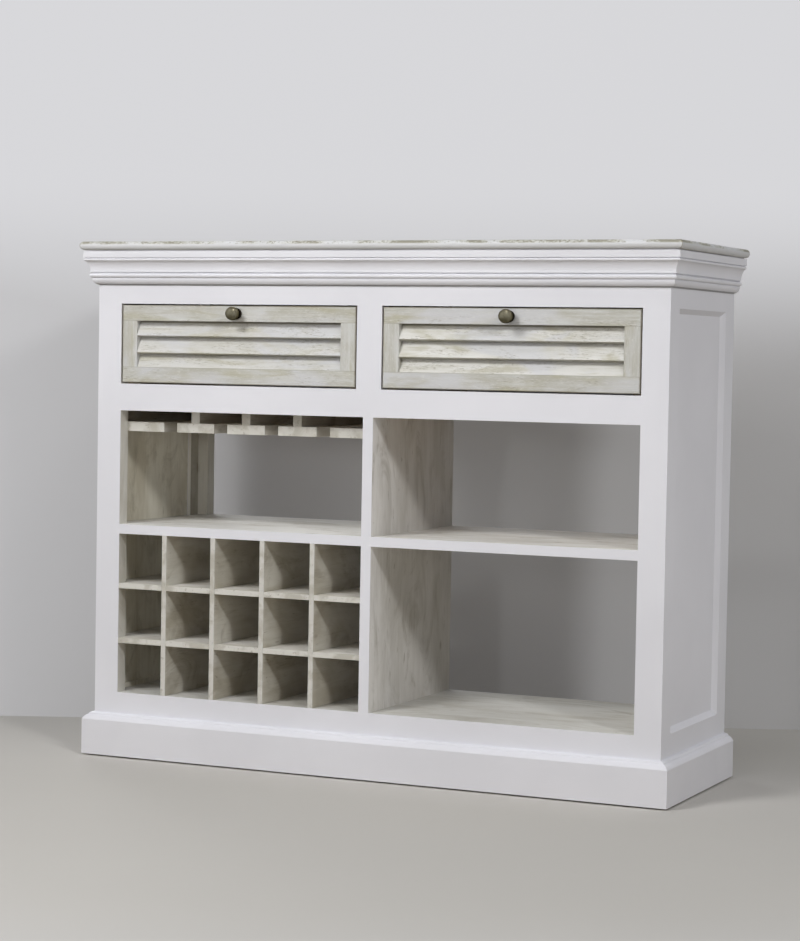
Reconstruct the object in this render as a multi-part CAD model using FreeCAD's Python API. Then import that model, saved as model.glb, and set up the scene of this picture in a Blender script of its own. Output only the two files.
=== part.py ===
import FreeCAD, Part
import math
import os

# Wine cabinet: a painted frame-and-panel carcass under a crown cornice, with two louvred drawers
# over open bays, a rack for hanging stemware and a half-lapped grid for bottles.
# Millimetres. X runs to the right seen from the front, Y to the back, Z up from the floor.

# Carcass frame
BODY_WIDTH = 1144.0
BODY_DEPTH = 372.0
FRAME_THICKNESS = 28.0
STILE_WIDTH = 50.0
CENTRE_STILE_WIDTH = 50.0
SIDE_STILE_FACE = 50.0
PANEL_BEVEL = 9.0
PANEL_LIP = 7.0
PANEL_GROOVE = 8.0
BACK_PANEL_THICKNESS = 12.0
BACK_PANEL_INSET = 8.0

# Heights, in order from the floor
GLIDE_HEIGHT = 3.0
PLINTH_HEIGHT = 80.5
BASE_REVEAL = 40.0
CELL_HEIGHT = 95.0
UPPER_BAY_HEIGHT = 217.5
MID_RAIL_HEIGHT = 51.0
DRAWER_OPENING_HEIGHT = 152.0
TOP_RAIL_REVEAL = 36.0
TOP_THICKNESS = 16.0

# Boards
TOP_OVERHANG = 28.0
BOTTOM_THICKNESS = 20.0
SHELF_THICKNESS = 18.0
PARTITION_THICKNESS = 20.0
DECK_THICKNESS = 15.0
DECK_DROP = 10.0
GLIDE_RADIUS = 11.0
GLIDE_CHAMFER = 1.0

# Plinth moulding, from the bottom: a flat, a convex edge, a quirk, a smaller convex cap and a lip
PLINTH_DEPTH = 18.0
PLINTH_EDGE_DEPTH = 9.5
PLINTH_EDGE_HEIGHT = 9.0
PLINTH_EDGE_BULGE = 1.3
PLINTH_QUIRK_HEIGHT = 0.8
PLINTH_CAP_HEIGHT = 3.2
PLINTH_CAP_BULGE = 1.1
PLINTH_LIP_DEPTH = 2.0
PLINTH_LIP_HEIGHT = 0.8

# Cornice moulding, from the bottom: ovolo, astragal, cove, bead, fascia and a shadow gap
OVOLO_FOOT = 1.0
OVOLO_DEPTH = 10.5
OVOLO_HEIGHT = 11.0
OVOLO_BULGE = 2.6
QUIRK_HEIGHT = 1.8
QUIRK_DEPTH = 9.5
ASTRAGAL_RADIUS = 4.4
COVE_FOOT = 13.0
COVE_HEAD = 19.5
COVE_HEIGHT = 20.6
COVE_HOLLOW = 2.6
BEAD_RADIUS = 2.7
FASCIA_DEPTH = 22.5
FASCIA_HEIGHT = 12.3
FASCIA_QUIRK = 1.1
SHADOW_GAP_HEIGHT = 2.2
SHADOW_GAP_DEPTH = 17.0

# Bottle grid
CELL_COLUMNS = 5
CELL_ROWS = 3
DIVIDER_THICKNESS = 10.0

# Stemware rack
RACK_RAILS = 5
RACK_SLOT = 28.0
RACK_DROP = 40.0
SLAT_THICKNESS = 18.0
WEB_THICKNESS = 18.0
LEDGER_THICKNESS = 12.0
RACK_BACK_THICKNESS = 12.0

# Drawers
DRAWER_GAP = 2.5
DRAWER_RAIL_HEIGHT = 29.5
DRAWER_STILE_WIDTH = 31.0
DRAWER_EDGE_RADIUS = 2.0
STILE_BEVEL_WIDTH = 8.0
STILE_BEVEL_DEPTH = 1.6
FRONT_SETBACK = 2.0
LOUVRE_COUNT = 3
LOUVRE_THICKNESS = 6.0
LOUVRE_ANGLE = 27.5
LOUVRE_SETBACK = 1.5
LOUVRE_TUCK = 4.0
LOUVRE_HOUSING = 4.0
BOX_INSET = 6.0
BOX_HEAD_ROOM = 10.25
BOX_WALL = 12.0
BOX_BOTTOM_THICKNESS = 6.0
BOX_BOTTOM_RAISE = 8.0
BOX_GROOVE = 6.0
BOX_END_CLEARANCE = 0.3
RUN_CLEARANCE = 0.3
GUIDE_CLEARANCE = 0.5
GUIDE_HEIGHT = 30.0
RUNNER_LEDGE = 16.0
KICKER_CLEARANCE = 1.5
KICKER_THICKNESS = 18.0
KICKER_LAP = 14.0

# Knobs: a ball on a short neck and a rounded base, held by a screw from behind the rail
KNOB_BALL_RADIUS = 12.8
KNOB_BALL_CENTRE = 18.4
KNOB_NECK_RADIUS = 5.5
KNOB_BASE_RADIUS = 10.2
KNOB_BASE_HEIGHT = 4.0
KNOB_BASE_SHOULDER = 7.6
KNOB_BASE_BULGE = 1.2
KNOB_NECK_HOLLOW = 0.6
SCREW_RADIUS = 2.0
SCREW_CLEARANCE = 0.1
SCREW_GRIP = 8.0
SCREW_HEAD_RADIUS = 4.0
SCREW_HEAD_HEIGHT = 2.4

# Depth levels: the origin is under the middle of the whole depth, knobs included
KNOB_REACH = KNOB_BALL_CENTRE + KNOB_BALL_RADIUS
FRONT_REACH = max(KNOB_REACH, TOP_OVERHANG)
FACE_Y = (FRONT_REACH - BODY_DEPTH) / 2
BACK_Y = FACE_Y + BODY_DEPTH
FRAME_BACK_Y = FACE_Y + FRAME_THICKNESS
REAR_FRAME_Y = BACK_Y - FRAME_THICKNESS
BACK_PANEL_Y = BACK_Y - BACK_PANEL_INSET - BACK_PANEL_THICKNESS
MID_Y = (FACE_Y + BACK_Y) / 2

# Height levels
CORNICE_HEIGHT = (OVOLO_HEIGHT + QUIRK_HEIGHT + 2 * ASTRAGAL_RADIUS + QUIRK_HEIGHT + COVE_HEIGHT
                  + 2 * BEAD_RADIUS + FASCIA_QUIRK + FASCIA_HEIGHT + SHADOW_GAP_HEIGHT)
GRID_HEIGHT = CELL_ROWS * CELL_HEIGHT + (CELL_ROWS - 1) * DIVIDER_THICKNESS
FRAME_FOOT_Z = GLIDE_HEIGHT
PLINTH_TOP_Z = FRAME_FOOT_Z + PLINTH_HEIGHT
FLOOR_Z = PLINTH_TOP_Z + BASE_REVEAL
SHELF_Z = FLOOR_Z + GRID_HEIGHT
BAY_TOP_Z = SHELF_Z + SHELF_THICKNESS + UPPER_BAY_HEIGHT
DRAWER_FLOOR_Z = BAY_TOP_Z + MID_RAIL_HEIGHT
DRAWER_HEAD_Z = DRAWER_FLOOR_Z + DRAWER_OPENING_HEIGHT
CORNICE_Z = DRAWER_HEAD_Z + TOP_RAIL_REVEAL
TOP_Z = CORNICE_Z + CORNICE_HEIGHT
DECK_TOP_Z = DRAWER_FLOOR_Z - DECK_DROP
DECK_Z = DECK_TOP_Z - DECK_THICKNESS

# Width levels on the right half; the left half mirrors them
SIDE_X = BODY_WIDTH / 2
STILE_X = SIDE_X - STILE_WIDTH
FRAME_X = SIDE_X - FRAME_THICKNESS
PANEL_X = FRAME_X + PANEL_LIP
PANEL_FACE_X = SIDE_X - PANEL_BEVEL
PARTITION_X = PARTITION_THICKNESS / 2
CENTRE_STILE_X = CENTRE_STILE_WIDTH / 2
BAY_WIDTH = STILE_X - PARTITION_X

# Recess in the frame-and-panel sides
RECESS_FRONT_Y = FACE_Y + SIDE_STILE_FACE
RECESS_BACK_Y = BACK_Y - SIDE_STILE_FACE
RECESS_BOTTOM_Z = FLOOR_Z
RECESS_TOP_Z = DRAWER_HEAD_Z

# Drawer levels
DRAWER_X = (STILE_X + CENTRE_STILE_X) / 2
DRAWER_HALF_WIDTH = (STILE_X - CENTRE_STILE_X) / 2 - DRAWER_GAP
DRAWER_Z = DRAWER_FLOOR_Z + DRAWER_GAP
DRAWER_TOP_Z = DRAWER_HEAD_Z - DRAWER_GAP
LOUVRE_HALF_WIDTH = DRAWER_HALF_WIDTH - DRAWER_STILE_WIDTH
LOUVRE_Z = DRAWER_Z + DRAWER_RAIL_HEIGHT
LOUVRE_TOP_Z = DRAWER_TOP_Z - DRAWER_RAIL_HEIGHT
FRONT_BACK_Y = FRAME_BACK_Y - FRONT_SETBACK
BOX_HALF_WIDTH = DRAWER_HALF_WIDTH - BOX_INSET
BOX_BACK_Y = BACK_PANEL_Y - BOX_END_CLEARANCE
KNOB_Z = DRAWER_TOP_Z - DRAWER_RAIL_HEIGHT / 2
BOX_TOP_Z = KNOB_Z - SCREW_HEAD_RADIUS - BOX_HEAD_ROOM
RUNNER_TOP_Z = DRAWER_Z - RUN_CLEARANCE
KICKER_Z = BOX_TOP_Z + KICKER_CLEARANCE


def box(x0, x1, y0, y1, z0, z1):
    return Part.makeBox(x1 - x0, y1 - y0, z1 - z0, FreeCAD.Vector(x0, y0, z0))


def prism(corners, run):
    """Solid swept by a flat outline of 3-D corners along the vector run."""
    return Part.Face(Part.makePolygon(corners + corners[:1])).extrude(run)


def plan(corners, z0, z1):
    """Solid with an outline of (x, y) corners."""
    return prism([FreeCAD.Vector(x, y, z0) for x, y in corners], FreeCAD.Vector(0, 0, z1 - z0))


def side_view(corners, x0, x1):
    """Solid with an outline of (y, z) corners."""
    return prism([FreeCAD.Vector(x0, y, z) for y, z in corners], FreeCAD.Vector(x1 - x0, 0, 0))


def front_view(corners, y0, y1):
    """Solid with an outline of (x, z) corners."""
    return prism([FreeCAD.Vector(x, y0, z) for x, z in corners], FreeCAD.Vector(0, y1 - y0, 0))


def mirrored(shape):
    return shape.mirror(FreeCAD.Vector(0, 0, 0), FreeCAD.Vector(1, 0, 0))


def curved_face(steps, place):
    """Face bounded by steps of (a, b, bulge): bulge is the rise of the arc that ends at the step."""
    edges = []
    for (a0, b0, _), (a1, b1, bulge) in zip(steps, steps[1:] + steps[:1]):
        if bulge == 0:
            curve = Part.LineSegment(place(a0, b0), place(a1, b1))
        else:
            length = math.hypot(a1 - a0, b1 - b0)
            mid_a = (a0 + a1) / 2 + bulge * (b1 - b0) / length
            mid_b = (b0 + b1) / 2 - bulge * (a1 - a0) / length
            curve = Part.Arc(place(a0, b0), place(mid_a, mid_b), place(a1, b1))
        edges.append(curve.toShape())
    return Part.Face(Part.Wire(edges))


def mitred_moulding(steps):
    """Front, left and right lengths of a moulding round the body, mitred at the front corners."""
    reach = max(depth + abs(bulge) for depth, _, bulge in steps)
    outer_x = SIDE_X + reach
    outer_y = FACE_Y - reach
    front_face = curved_face(steps, lambda p, z: FreeCAD.Vector(-outer_x, FACE_Y - p, z))
    side_face = curved_face(steps, lambda p, z: FreeCAD.Vector(SIDE_X + p, outer_y, z))
    z0 = min(step[1] for step in steps)
    z1 = max(step[1] for step in steps)
    front_plan = [(-SIDE_X, FACE_Y), (SIDE_X, FACE_Y), (outer_x, outer_y), (-outer_x, outer_y)]
    side_plan = [(SIDE_X, FACE_Y), (outer_x, outer_y), (outer_x, BACK_Y), (SIDE_X, BACK_Y)]
    front = front_face.extrude(FreeCAD.Vector(2 * outer_x, 0, 0)).common(plan(front_plan, z0, z1))
    right = side_face.extrude(FreeCAD.Vector(0, BACK_Y - outer_y, 0)).common(plan(side_plan, z0, z1))
    return {"front": front, "left": mirrored(right), "right": right}


def top_board():
    """Board with a full bullnose on the front and both ends, square at the back."""
    radius = TOP_THICKNESS / 2
    half_width = SIDE_X + TOP_OVERHANG
    front_y = FACE_Y - TOP_OVERHANG
    across = [(BACK_Y, TOP_Z, 0), (BACK_Y, TOP_Z + TOP_THICKNESS, 0),
              (front_y + radius, TOP_Z + TOP_THICKNESS, 0), (front_y + radius, TOP_Z, radius)]
    along = [(half_width - radius, TOP_Z, 0), (half_width - radius, TOP_Z + TOP_THICKNESS, radius),
             (radius - half_width, TOP_Z + TOP_THICKNESS, 0), (radius - half_width, TOP_Z, radius)]
    deep = curved_face(across, lambda y, z: FreeCAD.Vector(-half_width, y, z))
    wide = curved_face(along, lambda x, z: FreeCAD.Vector(x, front_y, z))
    deep_bar = deep.extrude(FreeCAD.Vector(2 * half_width, 0, 0))
    wide_bar = wide.extrude(FreeCAD.Vector(0, BACK_Y - front_y, 0))
    return deep_bar.common(wide_bar)


def cornice_steps():
    """Cornice section as (projection, height, bulge) steps."""
    ovolo_z = CORNICE_Z + OVOLO_HEIGHT
    astragal_z = ovolo_z + QUIRK_HEIGHT
    astragal_top_z = astragal_z + 2 * ASTRAGAL_RADIUS
    cove_z = astragal_top_z + QUIRK_HEIGHT
    bead_z = cove_z + COVE_HEIGHT
    bead_top_z = bead_z + 2 * BEAD_RADIUS
    fascia_z = bead_top_z + FASCIA_QUIRK
    fascia_top_z = fascia_z + FASCIA_HEIGHT
    return [(0, CORNICE_Z, 0), (OVOLO_FOOT, CORNICE_Z, 0), (OVOLO_DEPTH, ovolo_z, OVOLO_BULGE),
            (QUIRK_DEPTH, ovolo_z, 0), (QUIRK_DEPTH, astragal_z, 0),
            (QUIRK_DEPTH, astragal_top_z, ASTRAGAL_RADIUS), (QUIRK_DEPTH, cove_z, 0),
            (COVE_FOOT, cove_z, 0), (COVE_HEAD, bead_z, -COVE_HOLLOW),
            (COVE_HEAD, bead_top_z, BEAD_RADIUS), (COVE_HEAD, fascia_z, 0), (FASCIA_DEPTH, fascia_z, 0),
            (FASCIA_DEPTH, fascia_top_z, 0), (SHADOW_GAP_DEPTH, fascia_top_z, 0),
            (SHADOW_GAP_DEPTH, TOP_Z, 0), (0, TOP_Z, 0)]


def plinth_steps():
    """Plinth section as (projection, height, bulge) steps."""
    lip_z = PLINTH_TOP_Z - PLINTH_LIP_HEIGHT
    cap_z = lip_z - PLINTH_CAP_HEIGHT
    quirk_z = cap_z - PLINTH_QUIRK_HEIGHT
    flat_z = quirk_z - PLINTH_EDGE_HEIGHT
    quirk_depth = PLINTH_DEPTH - PLINTH_EDGE_DEPTH
    return [(0, FRAME_FOOT_Z, 0), (PLINTH_DEPTH, FRAME_FOOT_Z, 0), (PLINTH_DEPTH, flat_z, 0),
            (quirk_depth, quirk_z, PLINTH_EDGE_BULGE), (quirk_depth, cap_z, 0),
            (PLINTH_LIP_DEPTH, lip_z, PLINTH_CAP_BULGE), (PLINTH_LIP_DEPTH, PLINTH_TOP_Z, 0),
            (0, PLINTH_TOP_Z, 0)]


def recess_rectangle(x, inset):
    """Wire round the side recess at the depth x, drawn in by inset."""
    y0 = RECESS_FRONT_Y + inset
    y1 = RECESS_BACK_Y - inset
    z0 = RECESS_BOTTOM_Z + inset
    z1 = RECESS_TOP_Z - inset
    corners = [(y0, z0), (y1, z0), (y1, z1), (y0, z1), (y0, z0)]
    return Part.makePolygon([FreeCAD.Vector(x, y, z) for y, z in corners])


def side_panel():
    """Right side panel, its edges housed in the grooves of the frame round it."""
    lap = PANEL_BEVEL - PANEL_GROOVE
    return box(PANEL_X, PANEL_FACE_X, RECESS_FRONT_Y + lap, RECESS_BACK_Y - lap,
               RECESS_BOTTOM_Z + lap, RECESS_TOP_Z - lap)


def side_member(corners):
    """Piece of the right side frame: bevelled down to the panel, mitred at its corners and grooved."""
    outer = recess_rectangle(SIDE_X, 0)
    inner = recess_rectangle(PANEL_FACE_X, PANEL_BEVEL)
    bevel = Part.makeLoft([inner, outer], True, True)
    return side_view(corners, FRAME_X, SIDE_X).cut(bevel).cut(side_panel())


def corner_post(stile_y0, stile_y1, leg_y, recess_y, bevel_run):
    """Right corner post: a front or rear stile, rebated to a thinner leg along the side."""
    inner_y = recess_y + bevel_run
    leg = [(leg_y, FRAME_FOOT_Z), (recess_y, FRAME_FOOT_Z), (recess_y, RECESS_BOTTOM_Z),
           (inner_y, RECESS_BOTTOM_Z + PANEL_BEVEL), (inner_y, RECESS_TOP_Z - PANEL_BEVEL),
           (recess_y, RECESS_TOP_Z), (recess_y, TOP_Z), (leg_y, TOP_Z)]
    stile = box(STILE_X, SIDE_X, stile_y0, stile_y1, FRAME_FOOT_Z, TOP_Z)
    return stile.fuse(side_member(leg)).removeSplitter()


def side_rail(edge_z, recess_z, bevel_run):
    """Right side rail between the posts, from edge_z to the recess and its bevel."""
    inner_z = recess_z + bevel_run
    return side_member([(RECESS_FRONT_Y, edge_z), (RECESS_BACK_Y, edge_z), (RECESS_BACK_Y, recess_z),
                        (RECESS_BACK_Y - PANEL_BEVEL, inner_z), (RECESS_FRONT_Y + PANEL_BEVEL, inner_z),
                        (RECESS_FRONT_Y, recess_z)])


def bay_shelf(z0, thickness):
    """Board across the right bay, notched round the posts and out to the side panel."""
    leg_front_y = RECESS_FRONT_Y + PANEL_BEVEL
    leg_back_y = RECESS_BACK_Y - PANEL_BEVEL
    corners = [(PARTITION_X, FACE_Y), (STILE_X, FACE_Y), (STILE_X, FRAME_BACK_Y), (FRAME_X, FRAME_BACK_Y),
               (FRAME_X, leg_front_y), (PANEL_X, leg_front_y), (PANEL_X, leg_back_y), (FRAME_X, leg_back_y),
               (FRAME_X, REAR_FRAME_Y), (STILE_X, REAR_FRAME_Y), (STILE_X, BACK_Y), (PARTITION_X, BACK_Y)]
    return plan(corners, z0, z0 + thickness)


def bottom_board():
    """Full-width floor of the bays, laid over the bottom rails and notched round the posts."""
    half = [(STILE_X, FACE_Y), (STILE_X, FRAME_BACK_Y), (FRAME_X, FRAME_BACK_Y),
            (FRAME_X, REAR_FRAME_Y), (STILE_X, REAR_FRAME_Y), (STILE_X, BACK_Y)]
    corners = half + [(-x, y) for x, y in reversed(half)]
    return plan(corners, FLOOR_Z - BOTTOM_THICKNESS, FLOOR_Z)


def centre_partition():
    """Upright between the bays, notched under the mid rails at the front and the back."""
    corners = [(FACE_Y, FLOOR_Z), (BACK_Y, FLOOR_Z), (BACK_Y, BAY_TOP_Z),
               (REAR_FRAME_Y, BAY_TOP_Z), (REAR_FRAME_Y, DECK_Z), (FRAME_BACK_Y, DECK_Z),
               (FRAME_BACK_Y, BAY_TOP_Z), (FACE_Y, BAY_TOP_Z)]
    return side_view(corners, -PARTITION_X, PARTITION_X)


def drawer_divider():
    """Upright between the drawers, from the deck to the top and notched over the rear mid rail."""
    corners = [(FRAME_BACK_Y, DECK_TOP_Z), (REAR_FRAME_Y, DECK_TOP_Z), (REAR_FRAME_Y, DRAWER_FLOOR_Z),
               (BACK_PANEL_Y, DRAWER_FLOOR_Z), (BACK_PANEL_Y, TOP_Z), (FRAME_BACK_Y, TOP_Z)]
    return side_view(corners, -PARTITION_X, PARTITION_X)


def floor_glides():
    """Round glides under the posts and the middles of the bottom rails."""
    middle_x = (STILE_X + SIDE_X) / 2
    front_y = FACE_Y + FRAME_THICKNESS / 2
    back_y = BACK_Y - FRAME_THICKNESS / 2
    glides = []
    for y in (front_y, back_y):
        for x in (-middle_x, 0, middle_x):
            rim = Part.makeCylinder(GLIDE_RADIUS, GLIDE_HEIGHT - GLIDE_CHAMFER,
                                    FreeCAD.Vector(x, y, GLIDE_CHAMFER))
            foot = Part.makeCone(GLIDE_RADIUS - GLIDE_CHAMFER, GLIDE_RADIUS, GLIDE_CHAMFER,
                                 FreeCAD.Vector(x, y, 0))
            glides.append(rim.fuse(foot).removeSplitter())
    return Part.makeCompound(glides)


def grid_levels(count, start, cell):
    """Lower faces of the dividers between count equal cells."""
    return [start + cell * (i + 1) + DIVIDER_THICKNESS * i for i in range(count - 1)]


def bottle_grid():
    """Half-lapped grid: the uprights are slotted from behind, the shelves from the front."""
    cell_width = (BAY_WIDTH - (CELL_COLUMNS - 1) * DIVIDER_THICKNESS) / CELL_COLUMNS
    upright_xs = grid_levels(CELL_COLUMNS, -STILE_X, cell_width)
    shelf_zs = grid_levels(CELL_ROWS, FLOOR_Z, CELL_HEIGHT)
    pieces = {}
    for i, x in enumerate(upright_xs):
        upright = box(x, x + DIVIDER_THICKNESS, FACE_Y, BACK_Y, FLOOR_Z, SHELF_Z)
        for z in shelf_zs:
            upright = upright.cut(box(x, x + DIVIDER_THICKNESS, MID_Y, BACK_Y, z, z + DIVIDER_THICKNESS))
        pieces[f"bottle_upright_{i + 1}"] = upright
    for i, z in enumerate(shelf_zs):
        shelf = mirrored(bay_shelf(z, DIVIDER_THICKNESS))
        for x in upright_xs:
            shelf = shelf.cut(box(x, x + DIVIDER_THICKNESS, FACE_Y, MID_Y, z, z + DIVIDER_THICKNESS))
        pieces[f"bottle_shelf_{i + 1}"] = shelf
    return pieces


def stemware_rack():
    """Slats with slots for glass stems, hung from the drawer deck by webs, end ledgers and a back board."""
    slat_width = (BAY_WIDTH - (RACK_RAILS - 1) * RACK_SLOT) / RACK_RAILS
    slat_z = BAY_TOP_Z - RACK_DROP
    web_z = slat_z + SLAT_THICKNESS
    back_y = REAR_FRAME_Y - RACK_BACK_THICKNESS
    pieces = {"stemware_back": box(-FRAME_X, -PARTITION_X, back_y, REAR_FRAME_Y, slat_z, DECK_Z)}
    for i in range(RACK_RAILS):
        x0 = -STILE_X + i * (slat_width + RACK_SLOT)
        x1 = x0 + slat_width
        web_x0 = (x0 + x1 - WEB_THICKNESS) / 2
        web_x1 = web_x0 + WEB_THICKNESS
        if i == 0:
            x0 = -FRAME_X
            web_x0 = x0
            web_x1 = x0 + LEDGER_THICKNESS
        if i == RACK_RAILS - 1:
            web_x0 = x1 - LEDGER_THICKNESS
            web_x1 = x1
        slat = box(x0, x1, FRAME_BACK_Y, back_y, slat_z, web_z)
        web = box(web_x0, web_x1, FRAME_BACK_Y, back_y, web_z, DECK_Z)
        pieces[f"stemware_rail_{i + 1}"] = Part.makeCompound([slat, web])
    return pieces


def both_sides(shapes):
    return Part.makeCompound(shapes + [mirrored(shape) for shape in shapes])


def drawer_runners():
    """Rebated runners, with a ledge under each drawer side and a guide beside it."""
    runners = []
    for wall_x, inward in ((FRAME_X, -1), (PARTITION_X, 1)):
        box_x = DRAWER_X - inward * BOX_HALF_WIDTH
        guide_x = box_x - inward * GUIDE_CLEARANCE
        ledge_x = box_x + inward * RUNNER_LEDGE
        guide_z = DECK_TOP_Z + GUIDE_HEIGHT
        section = [(wall_x, DECK_TOP_Z), (ledge_x, DECK_TOP_Z), (ledge_x, RUNNER_TOP_Z),
                   (guide_x, RUNNER_TOP_Z), (guide_x, guide_z), (wall_x, guide_z)]
        runners.append(front_view(section, FRAME_BACK_Y, REAR_FRAME_Y))
    return runners


def drawer_kickers():
    """Strips over the drawer sides that stop an open drawer from tipping."""
    outer = box(DRAWER_X + BOX_HALF_WIDTH - KICKER_LAP, FRAME_X, FRAME_BACK_Y, REAR_FRAME_Y,
                KICKER_Z, KICKER_Z + KICKER_THICKNESS)
    inner = box(PARTITION_X, DRAWER_X - BOX_HALF_WIDTH + KICKER_LAP, FRAME_BACK_Y, REAR_FRAME_Y,
                KICKER_Z, KICKER_Z + KICKER_THICKNESS)
    return [outer, inner]


def louvre_blades(x, overlap):
    """Sloping blades between the drawer stiles, their ends run past the opening by overlap."""
    slope = math.tan(math.radians(LOUVRE_ANGLE))
    flat_thickness = LOUVRE_THICKNESS / math.cos(math.radians(LOUVRE_ANGLE))
    drop = LOUVRE_THICKNESS * math.sin(math.radians(LOUVRE_ANGLE))
    front_y = FACE_Y + LOUVRE_SETBACK
    rise = (FRONT_BACK_Y - front_y - flat_thickness) / slope
    pitch = (LOUVRE_TOP_Z - LOUVRE_Z + 2 * LOUVRE_TUCK) / LOUVRE_COUNT
    half = LOUVRE_HALF_WIDTH + overlap
    opening = box(x - half, x + half, FACE_Y, FRONT_BACK_Y, LOUVRE_Z, LOUVRE_TOP_Z)
    blades = []
    for i in range(LOUVRE_COUNT):
        z = LOUVRE_Z - LOUVRE_TUCK + i * pitch
        back_y = front_y + flat_thickness - drop * slope
        section = [(front_y, z), (front_y + rise * slope, z + rise), (FRONT_BACK_Y, z + rise),
                   (back_y, z - drop)]
        blades.append(side_view(section, x - half, x + half).common(opening))
    return blades


def eased(shape, x, z):
    """Round the front edges of a drawer-front piece that lie on the outline of the whole front."""
    def on_outline(edge):
        middle = edge.CenterOfMass
        at_face = abs(middle.y - FACE_Y) < DRAWER_EDGE_RADIUS / 2
        at_end = abs(abs(middle.x - x) - DRAWER_HALF_WIDTH) < DRAWER_EDGE_RADIUS / 2
        at_rim = abs(middle.z - z) < DRAWER_EDGE_RADIUS / 2
        return at_face and (at_end or at_rim)
    return shape.makeFillet(DRAWER_EDGE_RADIUS, [edge for edge in shape.Edges if on_outline(edge)])


def drawer_stiles(x):
    """Stiles with a shallow bevel along the louvres and a sloping mortise for each blade."""
    outer = x + DRAWER_HALF_WIDTH
    inner = x + LOUVRE_HALF_WIDTH
    section = [(inner, FRONT_BACK_Y), (outer, FRONT_BACK_Y), (outer, FACE_Y),
               (inner + STILE_BEVEL_WIDTH, FACE_Y), (inner, FACE_Y + STILE_BEVEL_DEPTH)]
    right = eased(plan(section, LOUVRE_Z, LOUVRE_TOP_Z), x, DRAWER_Z)
    left = right.mirror(FreeCAD.Vector(x, 0, 0), FreeCAD.Vector(1, 0, 0))
    blades = Part.makeCompound(louvre_blades(x, LOUVRE_HOUSING))
    return Part.makeCompound([left.cut(blades), right.cut(blades)])


def drawer_rails(x):
    """Full-width rails of the drawer front; the upper one is drilled for the knob's screw."""
    x0 = x - DRAWER_HALF_WIDTH
    x1 = x + DRAWER_HALF_WIDTH
    lower = box(x0, x1, FACE_Y, FRONT_BACK_Y, DRAWER_Z, LOUVRE_Z)
    upper = box(x0, x1, FACE_Y, FRONT_BACK_Y, LOUVRE_TOP_Z, DRAWER_TOP_Z)
    hole = Part.makeCylinder(SCREW_RADIUS + SCREW_CLEARANCE, FRONT_BACK_Y - FACE_Y,
                             FreeCAD.Vector(x, FACE_Y, KNOB_Z), FreeCAD.Vector(0, 1, 0))
    return Part.makeCompound([eased(lower, x, DRAWER_Z), eased(upper, x, DRAWER_TOP_Z).cut(hole)])


def drawer_bottom(x):
    half = BOX_HALF_WIDTH - BOX_WALL + BOX_GROOVE
    z = DRAWER_Z + BOX_BOTTOM_RAISE
    end = BOX_WALL - BOX_GROOVE
    return box(x - half, x + half, FRONT_BACK_Y + end, BOX_BACK_Y - end, z, z + BOX_BOTTOM_THICKNESS)


def drawer_box_sides(x):
    """Long sides of the drawer box, grooved for its bottom."""
    bottom = drawer_bottom(x)
    inner = BOX_HALF_WIDTH - BOX_WALL
    left = box(x - BOX_HALF_WIDTH, x - inner, FRONT_BACK_Y, BOX_BACK_Y, DRAWER_Z, BOX_TOP_Z)
    right = box(x + inner, x + BOX_HALF_WIDTH, FRONT_BACK_Y, BOX_BACK_Y, DRAWER_Z, BOX_TOP_Z)
    return Part.makeCompound([left.cut(bottom), right.cut(bottom)])


def drawer_box_ends(x):
    """Inner front, which backs the louvres, and back of the drawer box, grooved for its bottom."""
    bottom = drawer_bottom(x)
    inner = BOX_HALF_WIDTH - BOX_WALL
    front = box(x - inner, x + inner, FRONT_BACK_Y, FRONT_BACK_Y + BOX_WALL, DRAWER_Z, BOX_TOP_Z)
    back = box(x - inner, x + inner, BOX_BACK_Y - BOX_WALL, BOX_BACK_Y, DRAWER_Z, BOX_TOP_Z)
    return Part.makeCompound([front.cut(bottom), back.cut(bottom)])


def knob(x):
    """Turned knob: a ball, a hollowed neck and a rounded base, tapped for its screw."""
    ball_start = KNOB_BALL_CENTRE - math.sqrt(KNOB_BALL_RADIUS ** 2 - KNOB_NECK_RADIUS ** 2)

    def place(out, radius):
        return FreeCAD.Vector(x + radius, FACE_Y - out, KNOB_Z)

    base = curved_face([(0, 0, 0), (0, KNOB_BASE_RADIUS, 0),
                        (KNOB_BASE_HEIGHT, KNOB_BASE_SHOULDER, -KNOB_BASE_BULGE),
                        (ball_start, KNOB_NECK_RADIUS, KNOB_NECK_HOLLOW),
                        (KNOB_BALL_CENTRE, KNOB_NECK_RADIUS, 0), (KNOB_BALL_CENTRE, 0, 0)], place)
    turned = base.revolve(FreeCAD.Vector(x, 0, KNOB_Z), FreeCAD.Vector(0, 1, 0), 360)
    ball = Part.makeSphere(KNOB_BALL_RADIUS, place(KNOB_BALL_CENTRE, 0), FreeCAD.Vector(0, 1, 0))
    hole = Part.makeCylinder(SCREW_RADIUS + SCREW_CLEARANCE, SCREW_GRIP + SCREW_CLEARANCE,
                             place(0, 0), FreeCAD.Vector(0, -1, 0))
    return turned.fuse(ball).removeSplitter().cut(hole)


def knob_screw(x):
    """Pan-head screw through the upper drawer rail into the knob."""
    shank = Part.makeCylinder(SCREW_RADIUS, FRONT_BACK_Y - FACE_Y + SCREW_GRIP,
                              FreeCAD.Vector(x, FRONT_BACK_Y, KNOB_Z), FreeCAD.Vector(0, -1, 0))
    head = Part.makeCylinder(SCREW_HEAD_RADIUS, SCREW_HEAD_HEIGHT,
                             FreeCAD.Vector(x, FRONT_BACK_Y, KNOB_Z), FreeCAD.Vector(0, 1, 0))
    return shank.fuse(head).removeSplitter()


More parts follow.
